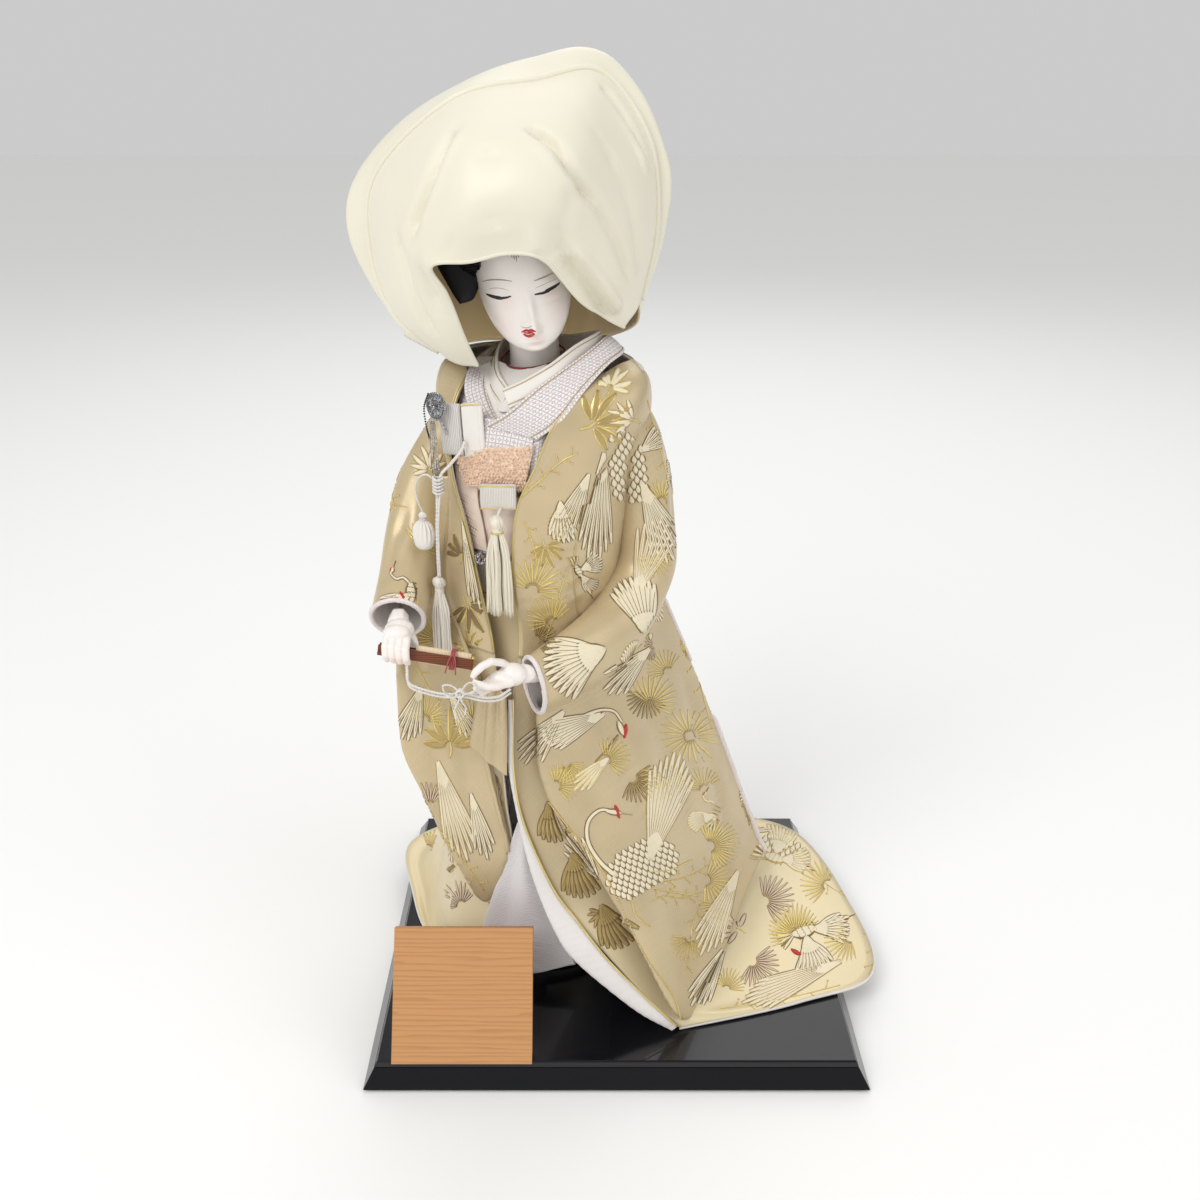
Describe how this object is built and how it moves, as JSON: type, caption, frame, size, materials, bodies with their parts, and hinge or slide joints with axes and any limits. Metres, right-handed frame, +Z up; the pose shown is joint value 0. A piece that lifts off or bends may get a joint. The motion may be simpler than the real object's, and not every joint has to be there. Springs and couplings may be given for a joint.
{
  "type": "bride doll",
  "caption": "Standing bride doll in a long gold brocade robe and an ivory satin hood, fan in hand, on a black lacquered board with a loose blank wooden plaque.",
  "frame": {"origin": "middle of the bounding box in plan, at the underside of the felt pads", "axes": "+Z up, -Y towards whoever stands in front of the board, +X to that person's right; the doll itself is turned 26 degrees towards -X"},
  "size_m": [0.3234, 0.262, 0.5601],
  "materials": {
    "lacquer": "black gloss lacquer on wood",
    "felt": "black felt",
    "white_silk": "white and cream silk, ribbed or finely woven",
    "gofun_white": "smooth satin white, pink at the edges, painted features",
    "steel": "plain steel wire and pins",
    "straw": "bound straw core",
    "peg_wood": "plain wood",
    "red_cord": "dark red silk thread",
    "hair": "combed black silk hair",
    "hood_satin": "ivory satin with a soft sheen",
    "fan_bamboo": "dark brown lacquered bamboo",
    "fan_paper": "pale folded paper",
    "cotton": "twisted white thread and wadding",
    "brocade": "champagne satin brocade with cranes and pine in gold and white thread",
    "silver_silk": "silver white figured silk",
    "obi_silk": "beige flecked brocade",
    "scarf_silk": "pink beige crinkled tie-dyed silk",
    "silver": "silver beads and thread",
    "cedar": "bare straight-grained cedar"
  },
  "bodies": {
    "stand_and_doll": {"stand_rail_front": "lacquer", "stand_rail_back": "lacquer", "stand_rail_left": "lacquer", "stand_rail_right": "lacquer", "stand_panel": "lacquer", "foot_pad_1": "felt", "foot_pad_2": "felt", "foot_pad_3": "felt", "foot_pad_4": "felt", "sandal_left": "white_silk", "leg_left": "gofun_white", "leg_pin_left": "steel", "sandal_right": "white_silk", "leg_right": "gofun_white", "leg_pin_right": "steel", "body_core": "straw", "arm_wire": "steel", "neck_cord": "red_cord", "hand_right": "gofun_white", "hand_left": "gofun_white", "arm_pad_left": "cotton", "arm_pad_right": "cotton", "robe": "brocade", "sleeve_left": "brocade", "sleeve_right": "brocade", "robe_hem": "white_silk", "front_fold": "brocade", "kimono": "silver_silk", "underskirt": "white_silk", "obi": "obi_silk", "obi_bow": "obi_silk", "obi_scarf": "scarf_silk", "obi_cord": "silver", "under_collar": "white_silk", "figured_collar": "silver_silk", "dagger_bag": "white_silk", "wallet": "white_silk", "wallet_cover": "white_silk", "pin_head": "silver", "wallet_cord": "cotton", "sachet_cord": "cotton", "hand_cord": "cotton"},
    "head_and_hood": {"head": "gofun_white", "head_peg": "peg_wood", "hair_cap": "hair", "hair_knot": "hair", "hood_brim": "hood_satin", "hood_crown": "hood_satin"},
    "fan": {"fan_guard_front": "fan_bamboo", "fan_guard_back": "fan_bamboo", "fan_ribs": "fan_bamboo", "fan_leaf": "fan_paper", "fan_rivet": "steel", "fan_tie": "red_cord"},
    "dagger_tassel": {"dagger_tassel": "cotton"},
    "wallet_tassel": {"wallet_tassel": "cotton"},
    "sachet": {"sachet": "white_silk"},
    "pin_chains": {"pin_chains": "silver"},
    "name_plaque": {"plaque": "cedar", "plaque_prop": "cedar"}
  },
  "joints": [
    {"name": "head_turn", "type": "hinge", "parent": "stand_and_doll", "child": "head_and_hood", "pos_m": [-0.05467, -0.00601, 0.398], "axis": [0, 0, 1], "range_deg": [-6, 6]},
    {"name": "fan_slide", "type": "slide", "parent": "stand_and_doll", "child": "fan", "axis": [-0.9871, 0.0489, 0.1525], "range_m": [0, 0.012]},
    {"name": "plaque_lift", "type": "slide", "parent": "stand_and_doll", "child": "name_plaque", "axis": [0, 0, 1], "range_m": [0, 0.1]},
    {"name": "dagger_tassel_swing", "type": "hinge", "parent": "stand_and_doll", "child": "dagger_tassel", "pos_m": [-0.07437, -0.05782, 0.335], "axis": [-0.8988, 0.4384, 0], "range_deg": [0, 25]},
    {"name": "wallet_tassel_swing", "type": "hinge", "parent": "stand_and_doll", "child": "wallet_tassel", "pos_m": [-0.10837, -0.04769, 0.296], "axis": [-0.8988, 0.4384, 0], "range_deg": [0, 16]},
    {"name": "sachet_swing", "type": "hinge", "parent": "stand_and_doll", "child": "sachet", "pos_m": [-0.11651, -0.03927, 0.331], "axis": [-0.8988, 0.4384, 0], "range_deg": [0, 25]},
    {"name": "pin_chains_swing", "type": "hinge", "parent": "stand_and_doll", "child": "pin_chains", "pos_m": [-0.10794, -0.03766, 0.381], "axis": [-0.8988, 0.4384, 0], "range_deg": [0, 20]}
  ]
}
